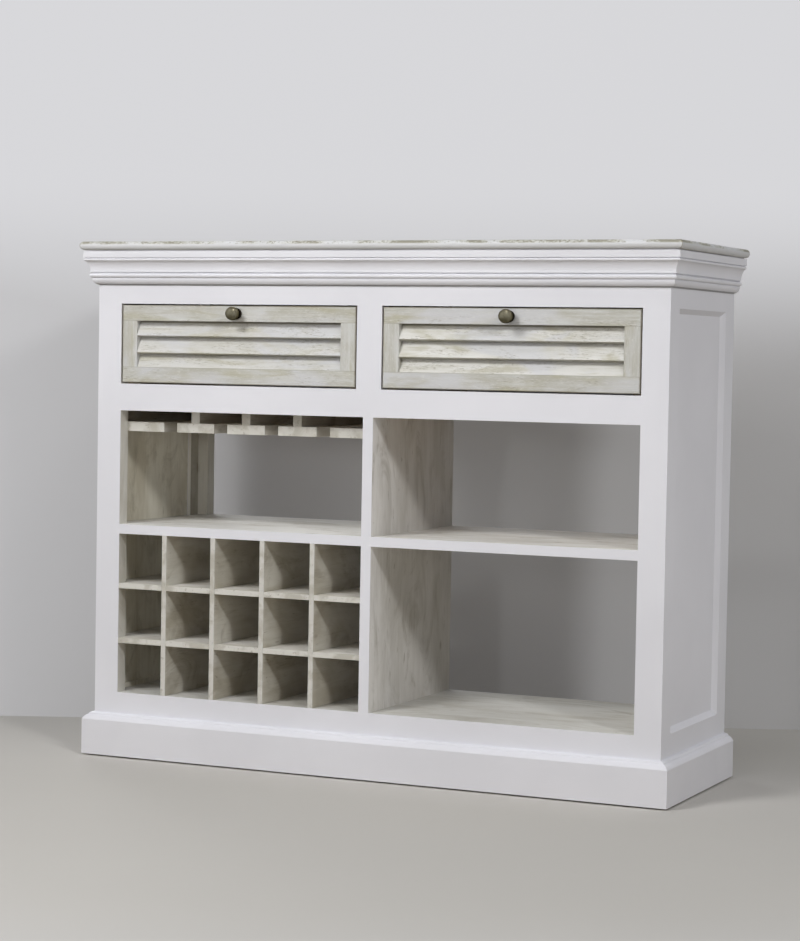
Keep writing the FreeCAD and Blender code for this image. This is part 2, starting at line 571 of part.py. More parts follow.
def front_frame():
    """Rails and centre stile of the face frame, between the posts."""
    def rail(x0, x1, z0, z1):
        return box(x0, x1, FACE_Y, FRAME_BACK_Y, z0, z1)
    return {
        "front_top_rail": rail(-STILE_X, STILE_X, DRAWER_HEAD_Z, TOP_Z),
        "front_mid_rail": rail(-STILE_X, STILE_X, BAY_TOP_Z, DRAWER_FLOOR_Z),
        "front_bottom_rail": rail(-STILE_X, STILE_X, FRAME_FOOT_Z, FLOOR_Z - BOTTOM_THICKNESS),
        "front_centre_stile": rail(-CENTRE_STILE_X, CENTRE_STILE_X, DRAWER_FLOOR_Z, DRAWER_HEAD_Z),
    }


def rear_frame():
    """Rails across the open back and the panel that closes the drawer space."""
    return {
        "rear_mid_rail": box(-STILE_X, STILE_X, REAR_FRAME_Y, BACK_Y, BAY_TOP_Z, DRAWER_FLOOR_Z),
        "rear_bottom_rail": box(-STILE_X, STILE_X, REAR_FRAME_Y, BACK_Y, FRAME_FOOT_Z,
                                FLOOR_Z - BOTTOM_THICKNESS),
        "back_panel": box(-STILE_X, STILE_X, BACK_PANEL_Y, BACK_PANEL_Y + BACK_PANEL_THICKNESS,
                          DRAWER_FLOOR_Z, TOP_Z),
    }


def side_frames():
    """Posts, rails and panels of both sides."""
    right = {
        "front_post": corner_post(FACE_Y, FRAME_BACK_Y, FRAME_BACK_Y, RECESS_FRONT_Y, PANEL_BEVEL),
        "rear_post": corner_post(REAR_FRAME_Y, BACK_Y, REAR_FRAME_Y, RECESS_BACK_Y, -PANEL_BEVEL),
        "side_top_rail": side_rail(TOP_Z, RECESS_TOP_Z, -PANEL_BEVEL),
        "side_bottom_rail": side_rail(FRAME_FOOT_Z, RECESS_BOTTOM_Z, PANEL_BEVEL),
        "side_panel": side_panel(),
    }
    pieces = {}
    for name, shape in right.items():
        pieces[f"{name}_left"] = mirrored(shape)
        pieces[f"{name}_right"] = shape
    return pieces


def inner_boards():
    """Boards that divide the carcass into bays and carry the drawers."""
    shelf = bay_shelf(SHELF_Z, SHELF_THICKNESS)
    return {
        "bottom_board": bottom_board(),
        "centre_partition": centre_partition(),
        "shelf_left": mirrored(shelf),
        "shelf_right": shelf,
        "drawer_deck": box(-FRAME_X, FRAME_X, FRAME_BACK_Y, REAR_FRAME_Y, DECK_Z, DECK_TOP_Z),
        "drawer_divider": drawer_divider(),
        "drawer_runners": both_sides(drawer_runners() + drawer_kickers()),
    }


def drawer(name, x):
    """All pieces of one drawer, centred on x."""
    return {
        f"{name}_rails": drawer_rails(x),
        f"{name}_stiles": drawer_stiles(x),
        f"{name}_louvres": Part.makeCompound(louvre_blades(x, LOUVRE_HOUSING)),
        f"{name}_box_sides": drawer_box_sides(x),
        f"{name}_box_ends": drawer_box_ends(x),
        f"{name}_bottom": drawer_bottom(x),
        f"{name}_knob": knob(x),
        f"{name}_knob_screw": knob_screw(x),
    }


def cabinet():
    """Every node of the cabinet by name."""
    pieces = {"top_board": top_board(), "floor_glides": floor_glides()}
    pieces.update({f"cornice_{side}": piece for side, piece in mitred_moulding(cornice_steps()).items()})
    pieces.update({f"plinth_{side}": piece for side, piece in mitred_moulding(plinth_steps()).items()})
    pieces.update(front_frame())
    pieces.update(rear_frame())
    pieces.update(side_frames())
    pieces.update(inner_boards())
    pieces.update(bottle_grid())
    pieces.update(stemware_rack())
    pieces.update(drawer("left_drawer", -DRAWER_X))
    pieces.update(drawer("right_drawer", DRAWER_X))
    return pieces


os.makedirs("parts", exist_ok=True)
for node, shape in cabinet().items():
    shape.exportStep(f"parts/{node}.step")
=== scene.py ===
import math
from collections import namedtuple

import bpy
from mathutils import Euler, Matrix, Vector


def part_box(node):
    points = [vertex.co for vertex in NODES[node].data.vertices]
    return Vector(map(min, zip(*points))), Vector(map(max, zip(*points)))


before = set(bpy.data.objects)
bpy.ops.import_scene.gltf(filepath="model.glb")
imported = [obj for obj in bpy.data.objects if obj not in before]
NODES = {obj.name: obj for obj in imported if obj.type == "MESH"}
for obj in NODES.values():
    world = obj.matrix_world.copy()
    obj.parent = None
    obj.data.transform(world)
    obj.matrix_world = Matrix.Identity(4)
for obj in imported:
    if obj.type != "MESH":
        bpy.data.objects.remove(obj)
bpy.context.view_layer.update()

# Places that the finishes follow, read from the bounds of parts in model.glb, in metres.
FACE_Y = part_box("front_top_rail")[0].y
BACK_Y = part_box("rear_post_left")[1].y
SIDE_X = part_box("front_post_right")[1].x
POST_INNER_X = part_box("front_post_right")[0].x
REAR_LEG_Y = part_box("rear_post_left")[0].y
REAR_STILE_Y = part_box("rear_mid_rail")[0].y
LEG_INNER_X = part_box("drawer_deck")[1].x
CORNICE_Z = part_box("cornice_front")[0].z
TOP_LO, TOP_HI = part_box("top_board")
GRID_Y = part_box("bottle_upright_1")[0].y
RACK_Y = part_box("stemware_rail_1")[0].y
DRAWER_LO, DRAWER_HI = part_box("right_drawer_rails")
DRAWER_MID_X = (DRAWER_LO.x + DRAWER_HI.x) / 2
DRAWER_HALF = (DRAWER_HI.x - DRAWER_LO.x) / 2
OPENING_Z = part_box("right_drawer_stiles")[0].z
OPENING_TOP_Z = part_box("right_drawer_stiles")[1].z
KNOB_LO, KNOB_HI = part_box("left_drawer_knob")
KNOB_Z = (KNOB_LO.z + KNOB_HI.z) / 2

# Sizes of what the finishes draw, in metres. A finish that belongs to one face is full down to SKIN below
# that face and gone at SKIN_END. HAIR is half the width of a sharp change between two finishes.
HAIR = 0.0002
SKIN = 0.0010
SKIN_END = 0.0014
REAR_PAINT_REACH = 0.0220
PANEL_PAINT_REACH = 0.0163
LOUVRE_COUNT = 3
LOUVRE_TUCK = 0.004
LOUVRE_PITCH = (OPENING_TOP_Z - OPENING_Z + 2 * LOUVRE_TUCK) / LOUVRE_COUNT
PLANKS_PER_METRE = 11.0
LIPPING_WIDTH = 0.045
SOFT_ARRIS = 0.0008
FINE_ARRIS = 0.0006
WELD_DISTANCE = 0.00001
ARRIS_ANGLE = math.radians(40)
OUTLINE_WAVER = 0.004

# Distances in metres at which a drawn line or tone is gone, and at which it is full.
PLANE = (0.0008, 0.0004)
CORNICE_SHADE_LINE = (0.0020, 0.0006)
CELL_SHADE_DEPTH = (0.03, 0.08)
BOARD_SHADE_DEPTH = (0.06, 0.20)
LIPPING_EDGE = (LIPPING_WIDTH + 0.0003, LIPPING_WIDTH - 0.0003)
LIPPING_LINE = (0.0010, 0.0004)
MITRE_LINE = (0.0016, 0.0008)
TOP_ROUNDING = (0.0085, 0.0030)
TOP_WEAR_DEPTH = (0.0070, 0.0040)
RAIL_SHADE_DEPTH = (0.0045, 0.0025)
RAIL_JOINT = (0.0009, 0.0003)
FRONT_OUTLINE = (0.0012, -0.0024)
KNOB_BALL_REACH = (0.0080, 0.0130)
KNOB_SHADED_UNDERSIDE = (0.008, -0.012)

# The same in plank widths, and in louvre pitches.
PLANK_JOINT = (0.009, 0.003)
BLADE_SHADE = (0.875, 0.90)

# Display colours, 0 to 255.
PAINT_LOW = (225, 225, 231)
PAINT_HIGH = (230, 230, 236)
# The tone of the painted shade in the seam under the cornice.
SEAM_SHADE_TONE = (112, 110, 106)
# Painted shade on a rear leg's inner face, and painted light on a rear stile's and a rear leg's front faces.
LEG_PAINTED_SHADE = (118, 110, 90)
STILE_PAINTED_LIGHT = (234, 231, 222)
ARRIS_PAINTED_LIGHT = (238, 236, 230)
EDGE_STAIN = (166, 161, 147)
EDGE_SPECK = (126, 117, 95)
# The tone of the painted shade deep in the bays and bottle cells.
DEEP_SHADE_BROWN = (122, 107, 76)
UPRIGHT_EDGE = (209, 207, 201)
GRID_SHELF_EDGE = (214, 212, 205)
SLAT_EDGE = (206, 204, 197)
PLANK_TONE = (166, 160, 143)
TOP_EDGE = (215, 216, 219)
TOP_EDGE_RUBBED = (200, 199, 190)
TOP_EDGE_BARE = (130, 126, 109)
JOINT_LINE = (120, 112, 92)
DRAWER_OLIVE = (177, 173, 150)
DRAWER_COOL = (205, 206, 210)
DRAWER_RUBBED = (142, 137, 120)
DRAWER_DAB = (220, 219, 215)
# The tone of the painted shade under the louvre blades and the upper rail.
LOUVRE_SHADE_TONE = (112, 106, 86)
DRAWER_JOINT = (128, 122, 102)
DRAWER_OUTLINE = (112, 102, 80)
WOOD_EARLY = (200, 178, 146)
WOOD_LATE = (172, 144, 108)
WOOD_PORE = (134, 106, 74)
WOOD_PALE = (208, 192, 164)
BRASS_LOW = (134, 129, 107)
BRASS_HIGH = (156, 151, 129)
# The tone of the painted shade on the lower part of a knob's ball.
BRASS_UNDER_SHADE = (72, 67, 51)
BRASS_BASE = (40, 35, 28)
BRASS_PIT = (52, 46, 34)
BRASS_RIM = (0.15, 0.14, 0.11, 1.0)
ZINC_LOW = (168, 168, 170)
ZINC_HIGH = (196, 196, 192)
GLIDE_LOW = (38, 38, 39)
GLIDE_HIGH = (54, 53, 52)
BACKGROUND = (218, 218, 221)
FLOOR_SHOWN = (204, 201, 196)
FLOOR_BOUNCE = (150, 139, 120)
BACKDROP = (191, 191, 193)

# Whitewash: the wood that shows through, the pale strokes and the dark marks.
POST_WASH = dict(wood=(204, 200, 190), pale=(225, 223, 217), dark=(168, 161, 144))
SIDE_WASH = dict(wood=(201, 194, 175), pale=(229, 225, 211), dark=(146, 137, 113))
SHELF_WASH = dict(wood=(214, 211, 203), pale=(236, 235, 232), dark=(166, 159, 144), cover=(0.34, 0.58))
BOTTOM_WASH = dict(wood=(193, 190, 181), pale=(215, 214, 210), dark=(150, 143, 128), cover=(0.34, 0.58))
PARTITION_WASH = dict(wood=(214, 211, 206), pale=(239, 237, 235), dark=(146, 139, 123))
UPRIGHT_WASH = dict(wood=(199, 193, 178), pale=(229, 226, 217), dark=(142, 132, 110))
GRID_SHELF_WASH = dict(wood=(206, 201, 189), pale=(232, 230, 225))
TOP_WASH = dict(wood=(192, 188, 176), pale=(223, 222, 217), dark=(152, 144, 124))

# Drawer fronts: tones, how far the white covers the wood, where flecks are rubbed, and whether the louvres
# get painted shade.
RAIL_WEAR = dict(pale=(203, 203, 200), wood=(181, 179, 168), cover=(0.38, 0.62), fleck=(0.50, 0.66))
STILE_WEAR = dict(pale=(202, 202, 199), wood=(183, 181, 171), cover=(0.38, 0.62), fleck=(0.54, 0.70))
LOUVRE_WEAR_AND_SHADE = dict(cover=(0.34, 0.58), fleck=(0.44, 0.60), shaded_blades=True)
LEFT_LOUVRE = dict(pale=(208, 207, 203), wood=(190, 188, 178))
RIGHT_LOUVRE = dict(pale=(219, 218, 214), wood=(199, 197, 187))

Layer = namedtuple("Layer", "colour rough height")


def rgb(r, g, b):
    """A display colour, 0 to 255, as the linear values that a shader takes."""
    values = []
    for c in (r / 255, g / 255, b / 255):
        values.append(c / 12.92 if c <= 0.04045 else ((c + 0.055) / 1.055) ** 2.4)
    return (*values, 1.0)


def even(frequency):
    """The same noise frequency per metre along every axis."""
    return (frequency, frequency, frequency)


def along(axis, slow, fast):
    """Noise frequencies per metre, slow along the grain and fast across it."""
    return tuple(slow if name == axis else fast for name in "xyz")


class Shade:
    """One material's node tree, with short calls for the nodes it is made of."""

    NOISE_STRIDE = (3.7, 5.3, 2.9)
    KNOT_STRIDE = (1.9, 4.1, 3.3)

    def __init__(self, name):
        self.material = bpy.data.materials.new(name)
        self.material.use_nodes = True
        self.tree = self.material.node_tree
        self.tree.nodes.clear()
        self.place = self.node("ShaderNodeTexCoord").outputs["Object"]
        parts = self.node("ShaderNodeSeparateXYZ")
        self.feed(parts.inputs[0], self.place)
        self.x, self.y, self.z = parts.outputs

    def node(self, kind):
        return self.tree.nodes.new(kind)

    def feed(self, socket, value):
        if isinstance(value, bpy.types.NodeSocket):
            self.tree.links.new(value, socket)
        else:
            socket.default_value = value

    def maths(self, how, a, b=0.0):
        n = self.node("ShaderNodeMath")
        n.operation = how
        self.feed(n.inputs[0], a)
        self.feed(n.inputs[1], b)
        return n.outputs[0]

    def times(self, a, b):
        return self.maths("MULTIPLY", a, b)

    def less(self, a, b):
        return self.maths("SUBTRACT", a, b)

    def side(self):
        """The distance from the middle of the cabinet."""
        return self.maths("ABSOLUTE", self.x)

    def away(self, value, place):
        """How far a value is from a place, either way."""
        return self.maths("ABSOLUTE", self.less(value, place))

    def step(self, value, low, high):
        """0 below low, 1 above high, smooth between; low above high turns it round."""
        n = self.node("ShaderNodeMapRange")
        n.interpolation_type = "SMOOTHSTEP"
        self.feed(n.inputs["Value"], value)
        if low <= high:
            limits = (low, high, 0.0, 1.0)
        else:
            limits = (high, low, 1.0, 0.0)
        for socket, limit in zip(("From Min", "From Max", "To Min", "To Max"), limits):
            n.inputs[socket].default_value = limit
        return n.outputs["Result"]

    def plane(self, value, place):
        """1 on the plane where a value is at a place, 0 a little away from it."""
        return self.step(self.away(value, place), *PLANE)

    def span(self, value, low, high):
        """A value between 0 and 1 spread evenly between two limits."""
        n = self.node("ShaderNodeMapRange")
        self.feed(n.inputs["Value"], value)
        n.inputs["To Min"].default_value = low
        n.inputs["To Max"].default_value = high
        return n.outputs["Result"]

    def scaled(self, frequency, seed, stride):
        """Object coordinates times a frequency, moved to another part of the pattern by a seed."""
        m = self.node("ShaderNodeMapping")
        self.feed(m.inputs["Vector"], self.place)
        m.inputs["Scale"].default_value = frequency
        m.inputs["Location"].default_value = [seed * pace for pace in stride]
        return m.outputs["Vector"]

    def noise(self, frequency, seed, detail=3.0, rough=0.6, bend=0.0):
        n = self.node("ShaderNodeTexNoise")
        self.feed(n.inputs["Vector"], self.scaled(frequency, seed, self.NOISE_STRIDE))
        n.inputs["Scale"].default_value = 1.0
        n.inputs["Detail"].default_value = detail
        n.inputs["Roughness"].default_value = rough
        n.inputs["Distortion"].default_value = bend
        return n.outputs["Fac"]

    def knots(self, frequency, seed):
        """Rare small ovals, drawn out along the grain."""
        cells = self.node("ShaderNodeTexVoronoi")
        self.feed(cells.inputs["Vector"], self.scaled(frequency, seed, self.KNOT_STRIDE))
        cells.inputs["Scale"].default_value = 1.0
        near = self.step(cells.outputs["Distance"], 0.10, 0.03)
        return self.times(near, self.step(cells.outputs["Color"], 0.50, 0.52))

    def mix(self, share, a, b):
        """Colour a where the share is 0 and colour b where it is 1."""
        n = self.node("ShaderNodeMix")
        n.data_type = "RGBA"
        self.feed(n.inputs["Factor"], share)
        self.feed(n.inputs[6], a)
        self.feed(n.inputs[7], b)
        return n.outputs[2]

    def blend(self, share, a, b):
        """Number a where the share is 0 and number b where it is 1."""
        n = self.node("ShaderNodeMix")
        self.feed(n.inputs[0], share)
        self.feed(n.inputs[2], a)
        self.feed(n.inputs[3], b)
        return n.outputs[0]

    def tint(self, colour, mask, share, tone):
        """A colour with a share of a display colour laid over it where the mask is 1."""
        return self.mix(self.times(mask, share), colour, rgb(*tone))

    def tones(self, mask, low, high):
        """One display colour where the mask is 0 and another where it is 1."""
        return self.mix(mask, rgb(*low), rgb(*high))

    def either(self, *masks):
        total = masks[0]
        for mask in masks[1:]:
            total = self.maths("MAXIMUM", total, mask)
        return total

    def surface(self, layer, depth=0.0004, strength=0.5, metallic=0.0, rim=(1.0, 1.0, 1.0, 1.0)):
        shader = self.node("ShaderNodeBsdfPrincipled")
        self.feed(shader.inputs["Base Color"], layer.colour)
        self.feed(shader.inputs["Roughness"], layer.rough)
        shader.inputs["Metallic"].default_value = metallic
        shader.inputs["Specular Tint"].default_value = rim
        bump = self.node("ShaderNodeBump")
        bump.inputs["Strength"].default_value = strength
        bump.inputs["Distance"].default_value = depth
        self.feed(bump.inputs["Height"], layer.height)
        self.feed(shader.inputs["Normal"], bump.outputs["Normal"])
        self.show(shader.outputs["BSDF"])
        return self.material

    def show(self, shader):
        self.feed(self.node("ShaderNodeOutputMaterial").inputs["Surface"], shader)


def paint(s):
    """Satin white paint: faint cloudiness, brushed and rolled texture, and a dark line of painted shade in
    the seam under the cornice.
    """
    cloud = s.noise(even(4), seed=1, rough=0.5, bend=0.3)
    fine = s.noise(even(240), seed=2, detail=2, rough=0.5)
    brushed = s.noise(even(38), seed=3, detail=4, bend=0.8)
    colour = s.tones(s.step(cloud, 0.35, 0.68), PAINT_LOW, PAINT_HIGH)
    # Painted shade: a dark line where the cornice meets the frieze below it.
    seam_shade = s.step(s.away(s.z, CORNICE_Z), *CORNICE_SHADE_LINE)
    colour = s.tint(colour, seam_shade, 0.75, SEAM_SHADE_TONE)
    return Layer(colour, s.span(brushed, 0.40, 0.54), s.blend(brushed, fine, cloud))


def wash(s, axis, seed, wood=(190, 184, 170), pale=(219, 216, 208), dark=(130, 121, 100), cover=(0.36, 0.62)):
    """Whitewash brushed along the grain: pale strokes, wood between them, smears, pores, short marks."""
    strokes = s.noise(along(axis, 4.0, 26), seed, detail=4, bend=0.8)
    patches = s.noise(along(axis, 4.5, 9), seed + 7, rough=0.55, bend=0.8)
    grain = s.noise(along(axis, 3.0, 120), seed + 5, detail=4, bend=1.2)
    smear = s.noise(along(axis, 6.0, 13), seed + 9, detail=4, rough=0.65, bend=1.4)
    pores = s.noise(along(axis, 14, 330), seed + 3, bend=0.3)
    marks = s.noise(along(axis, 26, 150), seed + 4, bend=0.5)
    colour = s.tones(s.step(s.blend(0.55, strokes, patches), *cover), wood, pale)
    colour = s.tint(colour, s.step(grain, 0.50, 0.74), 0.24, wood)
    worn = s.step(smear, 0.50, 0.74)
    colour = s.tint(colour, worn, 0.46, dark)
    colour = s.tint(colour, s.step(pores, 0.54, 0.72), s.span(worn, 0.14, 0.50), dark)
    ticks = s.times(s.step(marks, 0.66, 0.74), 0.55)
    knots = s.times(s.knots(along(axis, 7.0, 15.0), seed), 0.6)
    colour = s.mix(s.either(ticks, knots), colour, rgb(*dark))
    return Layer(colour, s.span(strokes, 0.55, 0.78), s.blend(0.5, pores, grain))


def two(s, mask, a, b):
    """Layer a where the mask is 0 and layer b where it is 1."""
    colour = s.mix(mask, a.colour, b.colour)
    return Layer(colour, s.blend(mask, a.rough, b.rough), s.blend(mask, a.height, b.height))


def white_paint():
    s = Shade("white_paint")
    return s.surface(paint(s), depth=0.0002, strength=0.015)


def post_finish():
    """Paint on a rear post's outer and back faces, whitewash on the faces inside the cabinet, with painted
    shade on the leg's inner face and painted light on the faces towards the front.
    """
    s = Shade("post_finish")
    limit = SIDE_X - REAR_PAINT_REACH
    outer = s.step(s.side(), limit - HAIR, limit + HAIR)
    back = s.step(s.y, BACK_Y - SKIN_END, BACK_Y - SKIN)
    inner = wash(s, "z", 11)
    # Painted light and shade: the leg's inner face darker, the stile's and the leg's front faces lighter, as
    # light falls on them.
    colour = s.tint(inner.colour, s.plane(s.side(), LEG_INNER_X), 0.45, LEG_PAINTED_SHADE)
    colour = s.tint(colour, s.plane(s.y, REAR_STILE_Y), 0.55, STILE_PAINTED_LIGHT)
    colour = s.mix(s.plane(s.y, REAR_LEG_Y), colour, rgb(*ARRIS_PAINTED_LIGHT))
    inner = inner._replace(colour=colour)
    return s.surface(two(s, s.either(outer, back), inner, paint(s)), strength=0.35)


def front_post_finish():
    """Paint on a front post, whitewash on its face inside the bays."""
    s = Shade("front_post_finish")
    inner = s.plane(s.side(), POST_INNER_X)
    behind = s.step(s.y, FACE_Y + SKIN, FACE_Y + SKIN_END)
    washed = wash(s, "z", 17, **POST_WASH)
    return s.surface(two(s, s.times(inner, behind), paint(s), washed), depth=0.0002, strength=0.15)


def side_finish():
    """Paint on the outside of a side panel or rail, whitewash inside."""
    s = Shade("panel_finish")
    limit = SIDE_X - PANEL_PAINT_REACH
    outer = s.step(s.side(), limit - HAIR, limit + HAIR)
    return s.surface(two(s, outer, wash(s, "z", 14, **SIDE_WASH), paint(s)), strength=0.35)


def board_finish(name, axis, seed, shade_share=0.0, **tones):
    """A whitewashed board with a painted front edge, and painted shade: a share of brown towards the back."""
    s = Shade(name)
    edge = s.step(s.y, FACE_Y + SKIN_END, FACE_Y + SKIN)
    base = wash(s, axis, seed, **tones)
    # Painted shade: brown deeper in the bay, where less light reaches.
    deep_shade = s.step(s.less(s.y, FACE_Y), *BOARD_SHADE_DEPTH)
    washed = base._replace(colour=s.tint(base.colour, deep_shade, shade_share, DEEP_SHADE_BROWN))
    return s.surface(two(s, edge, washed, paint(s)), strength=0.4)


def divider_finish(name, axis, seed, front_y, edge_tone, shade_share=0.0, **tones):
    """Thin whitewashed boards with pale, specked front edges, and painted shade: a share of brown behind
    them.
    """
    s = Shade(name)
    base = wash(s, axis, seed, **tones)
    stains = s.noise(even(24), seed + 6, bend=0.4)
    specks = s.noise(even(110), seed + 2, detail=4, rough=0.7)
    worn = s.tint(rgb(*edge_tone), s.step(stains, 0.44, 0.62), 0.55, EDGE_STAIN)
    worn = s.tint(worn, s.step(specks, 0.59, 0.70), 0.45, EDGE_SPECK)
    edge = s.step(s.y, front_y + SKIN_END, front_y + SKIN)
    # Painted shade: brown deeper in the cells, where less light reaches.
    deep_shade = s.step(s.less(s.y, front_y), *CELL_SHADE_DEPTH)
    sides = s.tint(base.colour, deep_shade, shade_share, DEEP_SHADE_BROWN)
    return s.surface(base._replace(colour=s.mix(edge, sides, worn)), strength=0.45)


def top_finish():
    """The top: whitewashed planks in a mitred lipping, its rounded edge white with small bare flecks."""
    s = Shade("top_finish")
    base = wash(s, "x", 21, **TOP_WASH)
    across = s.times(s.y, PLANKS_PER_METRE)
    plank = s.node("ShaderNodeTexWhiteNoise")
    plank.noise_dimensions = "1D"
    s.feed(plank.inputs["W"], s.maths("FLOOR", across))
    colour = s.tint(base.colour, plank.outputs["Value"], 0.32, PLANK_TONE)
    from_front = s.less(s.y, TOP_LO.y)
    from_end = s.less(TOP_HI.x, s.side())
    border = s.maths("MINIMUM", from_front, from_end)
    lipping = s.step(border, *LIPPING_EDGE)
    colour = s.mix(lipping, colour, base.colour)
    between_planks = s.step(s.maths("PINGPONG", across, 0.5), *PLANK_JOINT)
    joints = s.times(between_planks, s.less(1.0, lipping))
    mitre = s.times(s.step(s.away(from_front, from_end), *MITRE_LINE), lipping)
    lines = s.either(joints, s.step(s.away(border, LIPPING_WIDTH), *LIPPING_LINE), mitre)
    flecks = s.noise((190, 190, 420), seed=4, rough=0.7, bend=0.6)
    rubbed = s.noise(even(14), seed=6, rough=0.55)
    edge = s.step(border, *TOP_ROUNDING)
    worn = s.times(edge, s.step(s.less(TOP_HI.z, s.z), *TOP_WEAR_DEPTH))
    bare = s.times(worn, s.step(s.maths("ADD", flecks, rubbed), 0.98, 1.06))
    colour = s.tint(colour, edge, 0.92, TOP_EDGE)
    colour = s.tint(colour, worn, s.step(rubbed, 0.36, 0.58), TOP_EDGE_RUBBED)
    colour = s.tint(colour, bare, 0.80, TOP_EDGE_BARE)
    colour = s.tint(colour, lines, 0.60, JOINT_LINE)
    return s.surface(base._replace(colour=colour), strength=0.4)


def drawer_edge(s):
    """The distance in from the nearest edge of a drawer front."""
    off_middle = s.maths("ABSOLUTE", s.less(s.side(), DRAWER_MID_X))
    inside_z = s.maths("MINIMUM", s.less(s.z, DRAWER_LO.z), s.less(DRAWER_HI.z, s.z))
    return s.maths("MINIMUM", s.less(DRAWER_HALF, off_middle), inside_z)


def louvre_painted_shade(s):
    """Painted shade on the louvres: a dark olive band under the blade above, and under the upper rail."""
    risen = s.maths("DIVIDE", s.less(s.z, OPENING_Z - LOUVRE_TUCK), LOUVRE_PITCH)
    under_blade = s.times(s.step(s.maths("FRACT", risen), *BLADE_SHADE), 0.32)
    under_rail = s.times(s.step(s.less(OPENING_TOP_Z, s.z), *RAIL_SHADE_DEPTH), 0.70)
    return s.either(under_blade, under_rail)


def drawer_finish(name, axis, seed, pale, wood, cover, fleck, shaded_blades=False):
    """Distressed drawer front: brushed white, cool and olive patches, rubbed flecks, a dark outline, and on
    louvres painted shade under the blades.
    """
    s = Shade(name)
    strokes = s.noise(along(axis, 7.0, 150), seed, detail=5, rough=0.68, bend=0.8)
    broad = s.noise(along(axis, 8.0, 26), seed + 4, detail=4, bend=1.0)
    scratch = s.noise(along(axis, 95, 640), seed + 2, detail=4, rough=0.7, bend=0.5)
    worn = s.noise(along(axis, 9, 40), seed + 9, bend=0.8)
    cool = s.noise(along(axis, 5, 12), seed + 6, rough=0.55, bend=0.6)
    olive = s.noise(along(axis, 6, 30), seed + 8, rough=0.55, bend=0.9)
    colour = s.tones(s.step(s.blend(0.5, strokes, broad), *cover), wood, pale)
    colour = s.tint(colour, s.step(olive, 0.50, 0.68), 0.70, DRAWER_OLIVE)
    colour = s.tint(colour, s.step(cool, 0.48, 0.62), 0.72, DRAWER_COOL)
    rubbed = s.times(s.step(scratch, 0.53, 0.64), s.step(worn, *fleck))
    colour = s.tint(colour, rubbed, 0.72, DRAWER_RUBBED)
    colour = s.tint(colour, s.step(scratch, 0.46, 0.36), 0.45, DRAWER_DAB)
    # Painted shade under each louvre blade and under the upper rail.
    if shaded_blades:
        colour = s.mix(louvre_painted_shade(s), colour, rgb(*LOUVRE_SHADE_TONE))
    off_joint = s.maths("MINIMUM", s.away(s.z, OPENING_Z), s.away(s.z, OPENING_TOP_Z))
    colour = s.tint(colour, s.step(off_joint, *RAIL_JOINT), 0.34, DRAWER_JOINT)
    ragged = s.less(drawer_edge(s), s.span(strokes, 0.0, OUTLINE_WAVER))
    colour = s.tint(colour, s.step(ragged, *FRONT_OUTLINE), 0.70, DRAWER_OUTLINE)
    layer = Layer(colour, s.span(strokes, 0.52, 0.76), s.blend(0.5, strokes, scratch))
    return s.surface(layer, depth=0.0003, strength=0.5)


def raw_wood(name, axis, seed):
    """Bare, lightly sealed wood: early and late wood in bands, fine pores."""
    s = Shade(name)
    bands = s.noise(along(axis, 1.6, 42), seed, detail=4, bend=1.2)
    pores = s.noise(along(axis, 14, 420), seed + 3, bend=0.2)
    cloud = s.noise(even(2.5), seed + 5, detail=2, rough=0.5, bend=0.3)
    colour = s.tones(s.step(bands, 0.38, 0.66), WOOD_EARLY, WOOD_LATE)
    colour = s.tint(colour, s.step(pores, 0.54, 0.7), 0.5, WOOD_PORE)
    colour = s.tint(colour, s.step(cloud, 0.4, 0.65), 0.25, WOOD_PALE)
    return s.surface(Layer(colour, s.span(pores, 0.5, 0.7), s.blend(0.5, bands, pores)), strength=0.35)


def antique_brass():
    """Aged brass: nearly black on the base and in the hollows, rubbed olive on the ball, with painted shade
    darkening the ball's lower part.
    """
    s = Shade("antique_brass")
    blotch = s.noise(even(140), seed=1, detail=4, rough=0.65, bend=0.6)
    fine = s.noise(even(700), seed=2)
    ball = s.step(s.less(FACE_Y, s.y), *KNOB_BALL_REACH)
    # Painted shade: the lower part of the ball darker, as if lit from above.
    under_shade = s.step(s.less(s.z, KNOB_Z), *KNOB_SHADED_UNDERSIDE)
    rubbed = s.tones(s.step(blotch, 0.34, 0.62), BRASS_LOW, BRASS_HIGH)
    rubbed = s.tint(rubbed, under_shade, 0.75, BRASS_UNDER_SHADE)
    colour = s.mix(ball, rgb(*BRASS_BASE), rubbed)
    colour = s.tint(colour, s.step(fine, 0.58, 0.7), 0.20, BRASS_PIT)
    layer = Layer(colour, s.span(blotch, 0.26, 0.32), fine)
    return s.surface(layer, depth=0.0001, strength=0.08, metallic=1.0, rim=BRASS_RIM)


def zinc():
    s = Shade("zinc_steel")
    turned = s.noise((900, 60, 900), seed=1)
    cloud = s.noise(even(220), seed=2, detail=2, rough=0.5)
    layer = Layer(s.tones(cloud, ZINC_LOW, ZINC_HIGH), s.span(turned, 0.26, 0.42), turned)
    return s.surface(layer, depth=0.00005, strength=0.3, metallic=1.0)


def glide_plastic():
    s = Shade("glide_plastic")
    grain = s.noise(even(900), seed=1)
    cloud = s.noise(even(80), seed=2, detail=2, rough=0.5)
    layer = Layer(s.tones(cloud, GLIDE_LOW, GLIDE_HIGH), s.span(grain, 0.55, 0.75), grain)
    return s.surface(layer, depth=0.0001, strength=0.4)


def dress(material, *names):
    for name in names:
        for slot in NODES[name].material_slots:
            slot.link = "OBJECT"
            slot.material = material


def soften(width, *names):
    """Small rounded arrises, made by modifiers over the welded solid."""
    for name in names:
        obj = NODES[name]
        weld = obj.modifiers.new("weld", "WELD")
        weld.merge_threshold = WELD_DISTANCE
        bevel = obj.modifiers.new("arris", "BEVEL")
        bevel.width = width
        bevel.segments = 2
        bevel.limit_method = "ANGLE"
        bevel.angle_limit = ARRIS_ANGLE
        bevel.harden_normals = True


